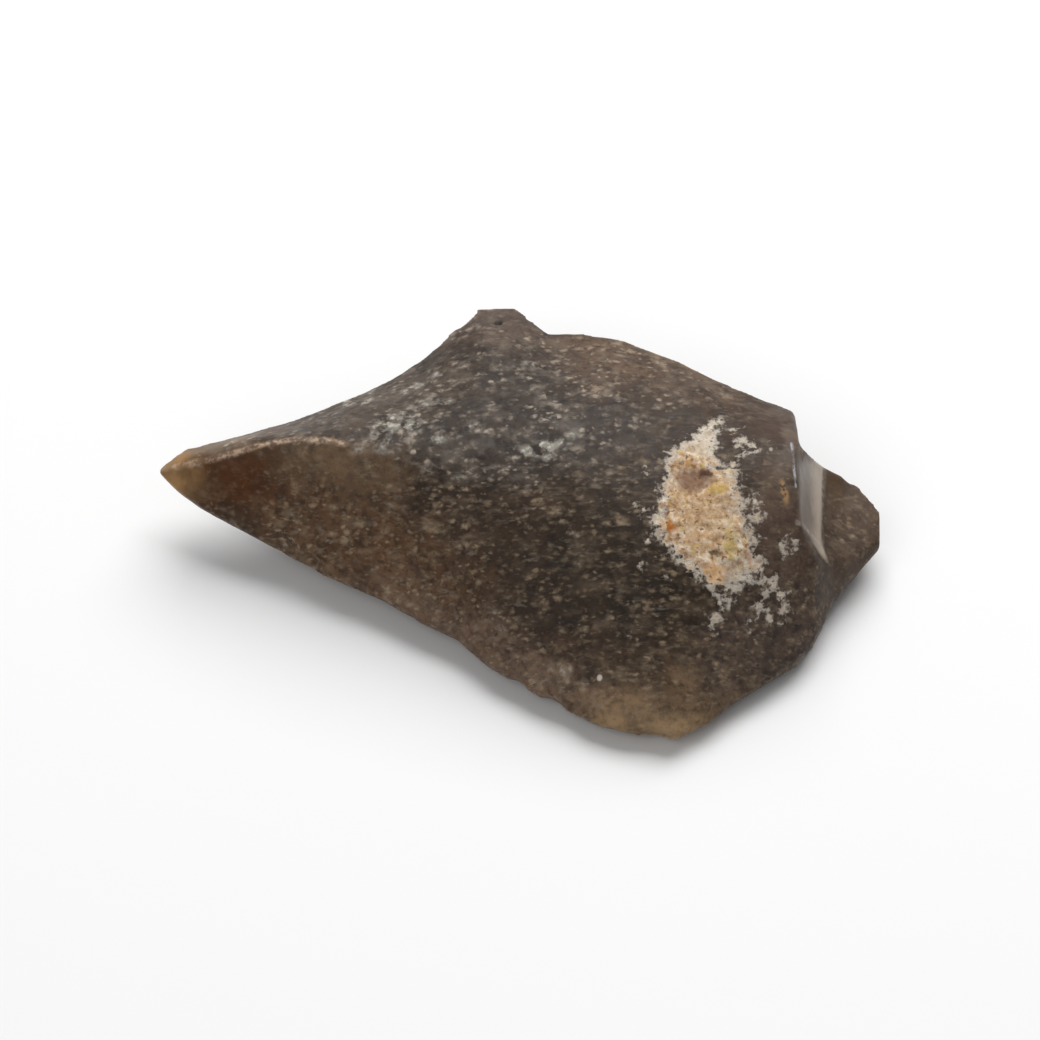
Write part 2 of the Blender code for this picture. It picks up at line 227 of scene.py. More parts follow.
def breakCorner(solid):
    bpy.ops.object.select_all(action="DESELECT")
    bpy.ops.mesh.primitive_cube_add(size=1.0)
    block = bpy.context.object
    setPlaces(block, np.array(cornerCut))
    applyModifier(solid, "BOOLEAN", "corner", operation="DIFFERENCE", object=block,
                  solver="EXACT")
    bpy.data.objects.remove(block)


def arrisPoints(obj, angle, spacing):
    mesh = obj.data
    facesOf = {}
    for face in mesh.polygons:
        for key in face.edge_keys:
            facesOf.setdefault(key, []).append(face.normal)
    points = []
    for (a, b), sides in facesOf.items():
        if len(sides) == 2 and sides[0].length and sides[1].length:
            if sides[0].angle(sides[1]) > math.radians(angle):
                start, end = mesh.vertices[a].co / mm, mesh.vertices[b].co / mm
                steps = max(1, round((end - start).length / spacing))
                points += [start.lerp(end, i / steps) for i in range(steps + 1)]
    return points


def distancesTo(points, targets):
    tree = KDTree(len(targets))
    for i, target in enumerate(targets):
        tree.insert(target, i)
    tree.balance()
    return np.array([tree.find(point)[2] for point in points])


def insideDistance(points, outline):
    x, y = points[:, 0], points[:, 1]
    nearest = np.full(len(points), 1e9)
    inside = np.zeros(len(points), dtype=bool)
    for (ax, ay), (bx, by) in zip(outline, outline[1:] + outline[:1]):
        along = ((x - ax) * (bx - ax) + (y - ay) * (by - ay)) / ((bx - ax) ** 2 + (by - ay) ** 2)
        along = np.clip(along, 0, 1)
        gap = np.hypot(x - ax - along * (bx - ax), y - ay - along * (by - ay))
        nearest = np.minimum(nearest, gap)
        crosses = (ay > y) != (by > y)
        at = ax + (y - ay) * (bx - ax) / (by - ay if by != ay else 1e-9)
        inside ^= crosses & (x < at)
    return np.where(inside, nearest, -nearest)


def thicknesses(points, normals, solid):
    tree = BVHTree.FromPolygons(
        [v.co / mm for v in solid.data.vertices], [f.vertices[:] for f in solid.data.polygons]
    )
    leans = [Vector((0, 0)), Vector((0.6, 0)), Vector((-0.3, 0.52)), Vector((-0.3, -0.52))]
    found = np.empty(len(points))
    for i, (point, normal) in enumerate(zip(points, normals)):
        inward = -Vector(normal)
        side = inward.orthogonal().normalized()
        other = inward.cross(side)
        start = Vector(point) + inward * 0.12
        total = 0.0
        for lean in leans:
            way = (inward + side * lean.x + other * lean.y).normalized()
            hit = tree.ray_cast(start, way, 14.0)
            total += hit[3] if hit[3] is not None else 0.4
        found[i] = total / len(leans)
    return found


def neighbourMeans(obj, values, turns):
    edges = np.empty(len(obj.data.edges) * 2, dtype=np.int32)
    obj.data.edges.foreach_get("vertices", edges)
    a, b = edges[0::2], edges[1::2]
    count = np.bincount(edges, minlength=len(values)).astype(float)
    shape = (-1,) + (1,) * (values.ndim - 1)
    for _ in range(turns):
        total = np.zeros_like(values)
        np.add.at(total, a, values[b])
        np.add.at(total, b, values[a])
        values = total / count.reshape(shape)
    return values


def alongLine(through, spacing):
    found = []
    for start, end in zip(through, through[1:]):
        start, end = Vector(start), Vector(end)
        steps = max(1, round((end - start).length / spacing))
        found += [start.lerp(end, i / steps) for i in range(steps + 1)]
    return found


def drawnIn(points):
    # the tip is rounded to a point instead of the solid's small flat end
    tip = np.array(stone["tipPoint"])
    share = np.clip(1 - (points[:, 0] - tip[0]) / stone["tipLength"], 0, 1)
    keep = stone["tipKeep"] + (1 - stone["tipKeep"]) * np.sqrt(1 - share ** 2)
    centre = tip[1:] + np.outer(points[:, 0] - tip[0], stone["tipDrift"])
    drawn = points.copy()
    drawn[:, 1:] = centre + (points[:, 1:] - centre) * keep[:, None]
    return drawn


def makeStone():
    solid = mergedCopy("flint_flake", "flint_solid")
    breakCorner(solid)
    piece = bpy.data.objects.new("flint_stone", solid.data.copy())
    bpy.context.scene.collection.objects.link(piece)
    applyModifier(piece, "REMESH", "fine", mode="VOXEL", voxel_size=stone["voxel"] * mm,
                  use_smooth_shade=True)
    arrises = arrisPoints(solid, stone["arrisAngle"], stone["arrisStep"])
    for line in edgeLines:
        if line.get("crisp"):
            arrises += alongLine(line["through"], stone["arrisStep"])
    points = places(piece)
    fromArris = distancesTo(points, arrises)
    setGroup(piece, "smooth", (fromArris - 0.12) / stone["arrisFade"])
    applyModifier(piece, "SMOOTH", "evenOut", factor=0.5, iterations=stone["smoothTurns"],
                  vertex_group="smooth")
    applyModifier(piece, "SMOOTH", "soften", factor=0.5, iterations=1)
    print("stone remeshed:", len(piece.data.polygons), "faces")

    points, normals = drawnIn(places(piece)), outwards(piece)
    offTable = np.clip(points[:, 2] / stone["tableFade"], 0, 1)
    nearArris = np.exp(-(fromArris / stone["arrisReach"]) ** 2)
    upper = normals[:, 2] > 0.15
    reach = stone["outlineReach"]
    inside = insideDistance(points, cortexOutline)
    for x, y, radius in crumbs:
        inside = np.maximum(inside, radius - np.hypot(points[:, 0] - x, points[:, 1] - y))
    lowDown = np.clip((stone["footTop"] - points[:, 1]) / 2, 0, 1)
    inside = np.where(upper, inside - stone["footLoss"] * lowDown, -reach)
    crusted = np.clip(0.5 + inside / stone["crustRim"], 0, 1)
    setGroup(piece, "body", offTable * (1 - 0.8 * nearArris))
    setGroup(piece, "arris", offTable * nearArris)
    setGroup(piece, "cortex", crusted)
    for ripple in ripples:
        away = np.linalg.norm(points - np.array(ripple["blow"]), axis=1)
        fade = np.clip(1 - away / ripple["reach"], 0, 1) * np.clip(away / 4, 0, 1)
        fade = fade * np.clip(normals[:, 2] * 2, 0, 1) * (1 - nearArris)
        lift = ripple["height"] * np.sin(2 * math.pi * away / ripple["wave"]) * fade
        points = points + normals * lift[:, None]
    for hollow in hollows:
        away = np.linalg.norm(points - np.array(hollow["at"]), axis=1)
        sink = hollow["depth"] * np.exp(-(away / (0.6 * hollow["radius"])) ** 2)
        points = points - normals * sink[:, None]
    setPlaces(piece, points)
    for relief in reliefs:
        pattern = bpy.data.textures.new(relief["name"], "CLOUDS")
        pattern.noise_scale = relief["size"] * mm
        pattern.noise_depth = relief["depth"]
        applyModifier(piece, "DISPLACE", relief["name"], texture=pattern, texture_coords="LOCAL",
                      strength=relief["height"] * mm, mid_level=0.5, vertex_group=relief["group"])
    low, high = (np.array(corner) / mm for corner in cadBox)
    setPlaces(piece, np.clip(places(piece), low, high))  # the relief stays in the solid's box
    print("stone relief laid")

    points, normals = places(piece), outwards(piece)
    thin = np.exp(-thicknesses(points, normals, solid) / stone["thinReach"])
    setAttribute(piece, "thin", neighbourMeans(piece, thin, stone["smearTurns"]))
    bulge = ((points - neighbourMeans(piece, points, 1)) * normals).sum(axis=1)
    setAttribute(piece, "crest", neighbourMeans(piece, bulge / 0.02, 2))
    setAttribute(piece, "chalk", np.clip(inside, -reach, reach))
    back = np.where(normals[:, 2] > 0.0, insideDistance(points, backOutline), -reach)
    setAttribute(piece, "back", np.clip(back, -reach, reach))
    wall = insideDistance(points, wallOutline)
    onWall = (points[:, 2] > stone["wallFoot"]) & (normals[:, 2] > -0.1)
    wall = np.where(onWall, wall, -reach)
    setAttribute(piece, "wall", np.clip(wall, -reach, reach))
    for line in edgeLines:
        apart = distancesTo(points, alongLine(line["through"], 0.1))
        setAttribute(piece, line["name"], np.clip(apart / line["width"], 0, 6))
    bpy.data.objects.remove(solid)
    print("stone attributes measured")
    return piece


def tint(red, green, blue):
    # a colour as a paint program gives it, 0 to 255, made linear
    return tuple((c / 255 / 12.92 if c < 11 else ((c / 255 + 0.055) / 1.055) ** 2.4)
                 for c in (red, green, blue)) + (1.0,)


def shadeOf(name):
    return tint(*tints[name])


def addNode(tree, kind, inputs, **settings):
    node = tree.nodes.new("ShaderNode" + kind)
    for key, value in settings.items():
        setattr(node, key, value)
    for key, value in inputs.items():
        if isinstance(value, bpy.types.NodeSocket):
            tree.links.new(value, node.inputs[key])
        else:
            node.inputs[key].default_value = value
    return node


def noiseOf(tree, where, scale, detail=3.0, roughness=0.55, distortion=0.0):
    node = addNode(tree, "TexNoise", {"Vector": where, "Scale": scale, "Detail": detail,
                                      "Roughness": roughness, "Distortion": distortion})
    return node.outputs["Fac"]


def cellsOf(tree, where, scale, randomness=0.9):
    node = addNode(tree, "TexVoronoi", {"Vector": where, "Scale": scale,
                                        "Randomness": randomness})
    return node.outputs["Distance"], node.outputs["Color"]


def between(tree, value, low, high, toLow=0.0, toHigh=1.0):
    node = addNode(tree, "MapRange", {"Value": value, "From Min": low, "From Max": high,
                                      "To Min": toLow, "To Max": toHigh},
                   interpolation_type="SMOOTHSTEP")
    return node.outputs["Result"]


def maths(tree, operation, first, second=0.0):
    return addNode(tree, "Math", {0: first, 1: second}, operation=operation).outputs[0]


def blend(tree, share, first, second, kind="MIX"):
    node = addNode(tree, "MixRGB", {"Fac": share, "Color1": first, "Color2": second},
                   blend_type=kind)
    return node.outputs["Color"]


def stretched(tree, where, scale, turn=(0, 0, 0)):
    node = addNode(tree, "Mapping", {"Vector": where, "Scale": scale, "Rotation": turn})
    return node.outputs["Vector"]


def shareOf(tree, where, zone, soft=0.5):
    # 1 inside the zone's ellipsoid and 0 outside, times its own share
    local = addNode(tree, "Mapping", {
        "Vector": where, "Location": zone["at"], "Scale": zone["size"],
        "Rotation": (0, 0, math.radians(zone.get("turn", 0.0)))}, vector_type="TEXTURE")
    apart = addNode(tree, "VectorMath", {0: local.outputs["Vector"]}, operation="LENGTH")
    return between(tree, apart.outputs["Value"], 1 - soft, 1 + soft, zone.get("share", 1.0), 0.0)


def blobsOf(tree, where, scale, radius, share):
    # soft round grains in a share of the cells, each of its own size and strength
    distance, cell = cellsOf(tree, where, scale)
    draw = addNode(tree, "SeparateColor", {"Color": cell}).outputs
    distance = maths(tree, "DIVIDE", distance, between(tree, draw[1], 0.0, 1.0, 0.55, 1.10))
    strength = between(tree, draw[0], 1 - share, 1 - 0.3 * share)
    return maths(tree, "MULTIPLY", between(tree, distance, radius, 0.0), strength)


def shifted(tree, where, scale, reach):
    # the same place, moved about by a slow noise, for wandering borders
    slow = addNode(tree, "TexNoise", {"Vector": where, "Scale": scale, "Detail": 3.0})
    slow = addNode(tree, "VectorMath", {0: slow.outputs["Color"], 1: (0.5, 0.5, 0.5)},
                   operation="SUBTRACT")
    slow = addNode(tree, "VectorMath", {0: slow.outputs[0], "Scale": reach}, operation="SCALE")
    return addNode(tree, "VectorMath", {0: where, 1: slow.outputs[0]}).outputs[0]


def mixed(tree, share, first, second):
    node = addNode(tree, "Mix", {"Factor": share, "A": first, "B": second})
    return node.outputs["Result"]


# Colours of the flint and its chalk, 0 to 255
tints = {
    "front": (55, 41, 30), "back": (58, 48, 40),             # the flint between its grains
    "frontGrain": (144, 126, 103), "backGrain": (163, 150, 135),
    "frontShell": (142, 128, 112), "backShell": (156, 151, 140),
    "frontShellCore": (164, 152, 136), "backShellCore": (192, 188, 177),
    "streak": (128, 119, 107), "dot": (196, 186, 172),
    # painted glow of the light shining through thin flint
    "glow": (128, 104, 78),                                  # where the flint is thin
    "worn": (140, 126, 108), "ridge": (188, 162, 138),       # crushed edges
    # painted sheen on the step's wall, dimmer on its left and brighter on its right
    "wallSheenDim": (108, 97, 88), "wallSheenBright": (164, 150, 135),
    "chalkRim": (212, 205, 194), "chalkOutside": (168, 161, 151), "chalkSpeck": (112, 82, 54),
}

# The chalk's colour along its noise
chalkRamp = [(0.34, (122, 92, 66)), (0.42, (174, 140, 106)), (0.52, (206, 178, 144)),
             (0.67, (240, 230, 212))]

# Gloss: waxy flint, smoother on the wall of the step, dry chalk
gloss = {"flint": (0.42, 0.60), "wall": 0.30, "chalk": 0.95, "ior": 1.54, "specular": 0.15}
depthGlow = {"weight": 0.12, "radius": (1.0, 0.6, 0.35), "scale": 0.9}  # light in the stone, mm

# The zones of the flint's colour, its own but for the tip's painted glow: place and half lengths
# in mm, turn in degrees, and how many pale grains there are
flintZones = [
    {"name": "upperRight", "at": (10.0, 12.0, 9.6), "size": (9.0, 6.0, 6.0), "turn": -30,
     "tint": (94, 75, 60), "grains": 1.7, "cool": 0.25},
    {"name": "shoulder", "at": (19.0, 4.5, 10.5), "size": (4.2, 5.0, 4.0),
     "tint": (70, 50, 36), "grains": 0.45},
    {"name": "brownSmear", "at": (10.8, 6.1, 10.9), "size": (3.4, 1.6, 2.0), "turn": -25,
     "tint": (60, 47, 36), "grains": 0.35, "share": 0.8},
    {"name": "paleBack", "at": (-12.0, 7.5, 9.0), "size": (7.5, 4.6, 5.0), "turn": 20,
     "tint": (84, 72, 61), "grains": 0.9, "share": 0.9},
    {"name": "flank", "at": (-12.0, -3.4, 5.6), "size": (9.0, 4.4, 4.4), "turn": -32,
     "tint": (94, 68, 46), "grains": 1.3},
    {"name": "ridgeTan", "at": (-14.0, 1.2, 9.6), "size": (4.6, 1.9, 2.2), "turn": -14,
     "tint": (104, 82, 60), "grains": 0.45},
    {"name": "brownFlank", "at": (-21.6, 1.5, 7.3), "size": (4.0, 2.3, 2.8), "turn": -4,
     "tint": (80, 45, 15), "grains": 0.25, "soft": 0.8},
    {"name": "tipBack", "at": (-23.5, 5.2, 7.8), "size": (5.0, 1.7, 2.2), "turn": 4,
     "tint": (122, 104, 86), "grains": 0.2},
    # painted glow: the thin tip is painted amber for the light shining through it
    {"name": "tipGlow", "at": (-27.4, 3.0, 5.7), "size": (3.4, 3.2, 2.8), "turn": -20,
     "tint": (150, 116, 76), "grains": 0.15},
    {"name": "core", "at": (8.6, -7.6, 8.6), "size": (7.6, 4.6, 5.0), "turn": -20,
     "tint": (48, 38, 28), "grains": 0.8},
    {"name": "darkAroundCortex", "at": (14.0, 0.5, 10.8), "size": (7.0, 7.5, 5.0),
     "tint": (58, 46, 37), "grains": 0.6, "share": 0.7},
    {"name": "rightFlank", "at": (19.4, -5.0, 8.8), "size": (2.6, 5.5, 4.5), "turn": 6,
     "tint": (84, 68, 58), "grains": 0.5},
    {"name": "lowRight", "at": (18.5, -12.5, 3.8), "size": (6.5, 4.6, 5.0), "turn": 35,
     "tint": (76, 64, 56), "grains": 0.9},
    {"name": "lowBand", "at": (-1.5, -11.8, 2.9), "size": (12.0, 1.8, 2.2), "turn": -35,
     "tint": (112, 90, 74), "grains": 1.6, "share": 0.9, "soft": 0.8},
    {"name": "lowEdge", "at": (10.0, -18.6, 1.4), "size": (8.0, 3.6, 4.0), "turn": -4,
     "tint": (132, 107, 80), "grains": 1.0, "soft": 1.0},
    {"name": "lowCorner", "at": (11.6, -19.4, 0.9), "size": (4.6, 2.6, 3.0), "turn": -4,
     "tint": (146, 122, 90), "grains": 0.5, "soft": 1.0},
    {"name": "endFacet", "at": (25.4, -1.0, 4.6), "size": (3.0, 6.5, 3.6),
     "tint": (86, 70, 57), "grains": 0.6},
    {"name": "endCorner", "at": (24.0, 2.6, 5.2), "size": (1.7, 1.8, 1.8),
     "tint": (68, 51, 34), "grains": 0.15, "share": 0.9},
    {"name": "edgeBand", "at": (20.5, 3.0, 10.8), "size": (0.9, 5.5, 2.2), "turn": 3,
     "tint": (92, 78, 68), "grains": 0.3, "share": 0.9, "soft": 0.5},
    {"name": "edgeStrip", "at": (22.0, 7.0, 8.6), "size": (1.3, 4.0, 3.2), "turn": 6,
     "tint": (98, 86, 77), "grains": 0.1, "soft": 0.35},
    {"name": "knob", "at": (-1.8, 17.5, 8.6), "size": (4.4, 3.6, 3.4),
     "tint": (92, 77, 66), "grains": 0.6},
]

# Pale clumps of old shell in the flint
paleClumps = [
    {"at": (2.2, 1.6, 11.7), "size": (1.5, 0.75, 1.2), "turn": 25, "share": 1.0},
    {"at": (1.3, 0.6, 11.6), "size": (0.7, 0.5, 1.0), "share": 0.8},
    {"at": (-9.4, 3.7, 10.9), "size": (2.4, 1.0, 1.5), "turn": 35, "share": 0.8},
    {"at": (-11.7, 9.3, 8.2), "size": (1.1, 0.7, 1.2), "turn": 30, "share": 0.9},
    {"at": (-13.7, 9.5, 7.4), "size": (0.9, 0.5, 1.2), "share": 0.8},
    {"at": (-8.0, 9.0, 9.4), "size": (1.4, 0.7, 1.2), "turn": 40, "share": 0.7},
    {"at": (-6.6, 10.5, 9.3), "size": (0.9, 0.6, 1.2), "share": 0.6},
    {"at": (-6.6, 6.6, 10.4), "size": (1.2, 0.6, 1.2), "turn": 20, "share": 0.55},
    {"at": (-6.5, 2.1, 11.1), "size": (1.2, 0.6, 1.2), "share": 0.5},
    {"at": (-4.1, 2.9, 11.3), "size": (1.6, 0.9, 1.2), "turn": 30, "share": 0.5},
    {"at": (-7.0, -0.2, 10.4), "size": (0.9, 0.5, 1.0), "share": 0.5},
    {"at": (-3.2, -1.4, 10.4), "size": (1.0, 0.5, 1.0), "share": 0.5},
    {"at": (1.3, 10.1, 10.3), "size": (1.2, 0.7, 1.2), "share": 0.5},
    {"at": (-21.0, 4.6, 8.3), "size": (1.5, 0.5, 0.9), "turn": 10, "share": 0.7},
    {"at": (3.3, -14.2, 3.3), "size": (0.9, 0.6, 0.9), "turn": -30, "share": 0.7},
    {"at": (5.2, -16.3, 2.6), "size": (0.7, 0.4, 0.8), "share": 0.5},
    {"at": (-1.8, -10.5, 4.2), "size": (0.6, 0.35, 0.8), "share": 0.6},
    {"at": (3.9, -4.6, 10.0), "size": (0.6, 0.4, 0.8), "share": 0.6},
    {"at": (9.6, -7.2, 9.2), "size": (0.5, 0.4, 0.8), "share": 0.5},
]

# Single pale dots, the sections of small fossils
paleDots = [
    {"at": (5.9, -14.8, 3.9), "size": (0.2, 0.2, 0.4)},
    {"at": (-24.6, 1.6, 6.3), "size": (0.10, 0.10, 0.3), "share": 0.7},
    {"at": (19.6, -5.9, 8.2), "size": (0.16, 0.16, 0.3), "share": 0.7},
]

# Two single marks: a streak beside the step, and painted shade in the pit in the knob
rustStreak = {"at": (19.75, -2.2, 10.4), "size": (0.28, 1.0, 0.8), "turn": 12,
              "tint": (186, 146, 98), "share": 0.6, "soft": 0.5}
pitShade = {"at": (-1.7, 16.5, 8.6), "size": (0.30, 0.30, 0.6),
           "tint": (34, 26, 22), "share": 0.85, "soft": 0.4}

# Clouded stains all through the cortex: noise scale per mm and the part of it that shows
cortexStains = [
    {"name": "ochre", "scale": 1.3, "from": 0.56, "to": 0.66, "share": 0.55,
     "tint": (212, 158, 84)},
    {"name": "yellow", "scale": 1.7, "from": 0.60, "to": 0.68, "share": 0.6,
     "tint": (222, 196, 100)},
    {"name": "pinkGrey", "scale": 1.5, "from": 0.57, "to": 0.66, "share": 0.5,
     "tint": (196, 172, 162)},
]

# Stains and spots in the cortex
cortexSpots = [
    {"name": "creamTop", "at": (13.9, 3.0, 11.4), "size": (1.9, 2.2, 2.0),
     "tint": (210, 198, 180), "share": 0.7, "soft": 0.5},
    {"name": "greyFoot", "at": (16.6, -9.2, 7.4), "size": (3.4, 2.2, 2.4),
     "tint": (162, 151, 137), "share": 0.7, "soft": 0.6},
    {"name": "tanMiddle", "at": (13.6, -4.4, 10.2), "size": (2.6, 3.4, 3.0),
     "tint": (196, 162, 124), "share": 0.45, "soft": 0.5},
    {"name": "mauve", "at": (13.0, -1.4, 11.0), "size": (1.45, 1.05, 1.5),
     "tint": (126, 96, 80), "share": 0.85, "soft": 0.45},
    {"name": "mauveDark", "at": (14.0, -0.9, 11.1), "size": (0.45, 0.35, 0.8),
     "tint": (88, 60, 50), "share": 0.8, "soft": 0.5},
    {"name": "orange", "at": (11.2, -5.4, 10.0), "size": (0.34, 0.34, 0.6),
     "tint": (176, 104, 28), "share": 0.9, "soft": 0.6},
    {"name": "redBrown", "at": (10.8, -4.1, 10.5), "size": (0.28, 0.28, 0.6),
     "tint": (112, 60, 32), "share": 0.9, "soft": 0.4},
    {"name": "yellow", "at": (14.8, -2.3, 10.9), "size": (0.7, 0.5, 0.8),
     "tint": (214, 180, 88), "share": 0.55, "soft": 0.6},
    {"name": "yellowRim", "at": (15.6, -6.1, 8.9), "size": (0.4, 1.1, 1.0),
     "tint": (212, 190, 108), "share": 0.5, "soft": 0.6},
    {"name": "pit", "at": (14.5, -6.8, 8.7), "size": (0.36, 0.36, 0.6),
     "tint": (110, 88, 62), "share": 0.9, "soft": 0.4},
    {"name": "peach", "at": (14.4, -8.3, 8.0), "size": (0.8, 0.7, 1.0),
     "tint": (220, 172, 116), "share": 0.7, "soft": 0.5},
    {"name": "pink", "at": (17.2, -6.7, 8.1), "size": (0.3, 0.4, 0.6),
     "tint": (206, 150, 132), "share": 0.6, "soft": 0.5},
    {"name": "hole", "at": (18.7, -8.9, 7.2), "size": (0.4, 0.3, 0.7),
     "tint": (66, 54, 44), "share": 0.9, "soft": 0.4},
]

# Soft clouds of pale grains: noise scale per mm, the part of the noise that shows, and strength
grainLayers = [
    {"name": "smudge", "scale": 0.60, "detail": 4.0, "from": 0.48, "to": 0.72, "share": 0.42,
     "grey": (116, 106, 95), "warm": (112, 95, 77)},
    {"name": "fleck", "scale": 1.35, "detail": 3.0, "from": 0.50, "to": 0.74, "share": 0.50,
     "grey": (128, 118, 106), "warm": (124, 107, 87)},
]

# Single pale grains: how many to a mm, their radius in cells, share of the cells, and strength
grainSizes = [
    {"scale": 0.95, "radius": 0.50, "share": 0.50, "strength": 0.60},
    {"scale": 1.55, "radius": 0.54, "share": 0.72, "strength": 0.82},
    {"scale": 2.40, "radius": 0.56, "share": 0.80, "strength": 0.72},
]


def flintMaterial():
    material = bpy.data.materials.new("flint_with_cortex")
    material.use_nodes = True
    tree = material.node_tree
    shader = tree.nodes["Principled BSDF"]
    coords = addNode(tree, "TexCoord", {}).outputs["Object"]
    where = stretched(tree, coords, (1 / mm,) * 3)  # patterns below are in mm
    names = ["thin", "crest", "chalk", "back", "wall"] + [line["name"] for line in edgeLines]
    attribute = {name: addNode(tree, "Attribute", {}, attribute_name=name).outputs["Fac"]
                 for name in names}
    cloudy = noiseOf(tree, where, 0.45, 5.0, 0.62)
    mottle = noiseOf(tree, where, 1.1, 4.0, 0.6)
    rough = noiseOf(tree, where, 2.3, 3.0, 0.6)

    # The grey back and the brown front, then the zones, all with wandering borders
    backEdge = maths(tree, "ADD", attribute["back"],
                     maths(tree, "MULTIPLY", maths(tree, "SUBTRACT", cloudy, 0.5), 5.0))
    onBack = between(tree, backEdge, -0.9, 0.9)
    colour = blend(tree, onBack, shadeOf("front"), shadeOf("back"))
    grains = mixed(tree, onBack, 0.92, 1.05)
    loose = shifted(tree, where, 0.3, 6.0)
    cool = onBack
    for zone in flintZones:
        share = shareOf(tree, loose, zone, zone.get("soft", 0.6))
        colour = blend(tree, share, colour, tint(*zone["tint"]))
        grains = mixed(tree, share, grains, zone["grains"])
        if "cool" in zone:
            cool = mixed(tree, share, cool, zone["cool"])

    # Painted glow: thin flint is painted warmer, standing in for the light that shines through it
    glow = between(tree, attribute["thin"], 0.25, 0.85, 0.0, 0.4)
    colour = blend(tree, glow, colour, shadeOf("glow"))

    # Lighter and darker mottle, from broad clouds to the gaps between the grains
    colour = blend(tree, between(tree, cloudy, 0.36, 0.64, 0.0, 1.0),
                   blend(tree, 1.0, colour, (0.80, 0.80, 0.82, 1.0), "MULTIPLY"),
                   blend(tree, 1.0, colour, (1.16, 1.14, 1.12, 1.0), "MULTIPLY"))
    busy = maths(tree, "MINIMUM", grains, 1.0)
    for noise, low in ((mottle, 0.30), (rough, 0.32)):
        gaps = maths(tree, "MULTIPLY", between(tree, noise, 0.54, low, 0.0, 0.75), busy)
        colour = blend(tree, gaps, colour, (0.46, 0.46, 0.50, 1.0), "MULTIPLY")

    # Pale grains and flakes of old shells and sponges, crowded in clouds
    crowd = between(tree, noiseOf(tree, where, 0.33, 4.0, 0.65), 0.36, 0.64, 0.40, 1.20)
    grains = maths(tree, "MULTIPLY", grains, crowd)
    axes = addNode(tree, "SeparateXYZ", {"Vector": where}).outputs
    depth = maths(tree, "MINIMUM", maths(tree, "MULTIPLY", axes["Y"], 1.16),
                  maths(tree, "MULTIPLY", axes["Y"], 0.76))  # longer grains on the back
    along = addNode(tree, "CombineXYZ", {"X": maths(tree, "MULTIPLY", axes["X"], 0.66),
                                         "Y": depth, "Z": axes["Z"]}).outputs["Vector"]
    for layer in grainLayers:
        grain = noiseOf(tree, along, layer["scale"], layer["detail"], 0.55)
        grain = between(tree, grain, layer["from"], layer["to"], 0.0, layer["share"])
        shade = blend(tree, cool, tint(*layer["warm"]), tint(*layer["grey"]))
        colour = blend(tree, maths(tree, "MULTIPLY", grain, grains), colour, shade)
    bent = shifted(tree, along, 2.0, 0.6)
    for grain in grainSizes:
        blob = blobsOf(tree, bent, grain["scale"], grain["radius"], grain["share"])
        blob = maths(tree, "MULTIPLY", blob, maths(tree, "MULTIPLY", grains, grain["strength"]))
        blob = maths(tree, "MULTIPLY", blob, between(tree, rough, 0.36, 0.56, 0.35, 1.15))
        shade = blend(tree, cool, shadeOf("frontGrain"), shadeOf("backGrain"))
        colour = blend(tree, maths(tree, "MINIMUM", blob, 0.9), colour, shade)
    streaks = noiseOf(tree, stretched(tree, where, (0.9, 3.0, 3.0), (0, 0, 0.12)), 1.0, 2.0, 0.5)
    streaks = maths(tree, "MULTIPLY", between(tree, streaks, 0.56, 0.72, 0.0, 0.35), grains)
    streaks = maths(tree, "MULTIPLY", streaks, maths(tree, "SUBTRACT", 1.0, onBack))
    colour = blend(tree, streaks, colour, shadeOf("streak"))
    clumps = 0.0
    for clump in paleClumps:
        clumps = maths(tree, "MAXIMUM", clumps, shareOf(tree, loose, clump, 0.5))
    clumps = maths(tree, "MULTIPLY", clumps, between(tree, mottle, 0.42, 0.60))
    shell = blend(tree, onBack, shadeOf("frontShell"), shadeOf("backShell"))
    colour = blend(tree, maths(tree, "MULTIPLY", clumps, 0.75), colour, shell)
    shellCore = blend(tree, onBack, shadeOf("frontShellCore"), shadeOf("backShellCore"))
    colour = blend(tree, maths(tree, "MULTIPLY", clumps, between(tree, rough, 0.48, 0.66)),
                   colour, shellCore)
    for dot in paleDots:
        colour = blend(tree, shareOf(tree, where, dot, 0.35), colour, shadeOf("dot"))

    # Crushed edges look paler, most of all along the ridge of the tip
    worn = maths(tree, "ADD", attribute["crest"],
                 maths(tree, "MULTIPLY", maths(tree, "SUBTRACT", rough, 0.5), 2.0))
    colour = blend(tree, between(tree, worn, 0.5, 1.4, 0.0, 0.4), colour, shadeOf("worn"))
    ridge = maths(tree, "MULTIPLY", between(tree, attribute["ridge"], 1.5, 0.1),
                  between(tree, rough, 0.42, 0.62, 0.20, 0.85))
    colour = blend(tree, ridge, colour, shadeOf("ridge"))

    # The steep wall of the step, painted pale grey and lighter to the right: a painted sheen where
    # it faces the light.
    # Then the lines along its edges: a painted highlight along its upper edge, painted shade in
    # the cleft under that edge and in the crease at its foot, and pale marks along the lip and the
    # end arc.
    wall = between(tree, attribute["wall"], -0.22, 0.30)
    sheenAcross = between(tree, maths(tree, "ADD", axes["X"], maths(tree, "MULTIPLY", mottle, 0.8)),
                     21.9, 23.1)
    wallSheen = blend(tree, sheenAcross, shadeOf("wallSheenDim"), shadeOf("wallSheenBright"))
    colour = blend(tree, maths(tree, "MULTIPLY", wall, 0.92), colour, wallSheen)
    for line in edgeLines:
        if "tint" in line:
            drawn = between(tree, attribute[line["name"]], 1.2, 0.3, 0.0, line["share"])
            drawn = maths(tree, "MULTIPLY", drawn, between(tree, rough, 0.40, 0.56, 0.30, 1.0))
            colour = blend(tree, drawn, colour, tint(*line["tint"]))
    rusty = maths(tree, "MULTIPLY", shareOf(tree, where, rustStreak, rustStreak["soft"]),
                  between(tree, rough, 0.40, 0.56))
    colour = blend(tree, rusty, colour, tint(*rustStreak["tint"]))
    # painted shade inside the pit of the knob
    colour = blend(tree, shareOf(tree, where, pitShade, pitShade["soft"]), colour,
                   tint(*pitShade["tint"]))

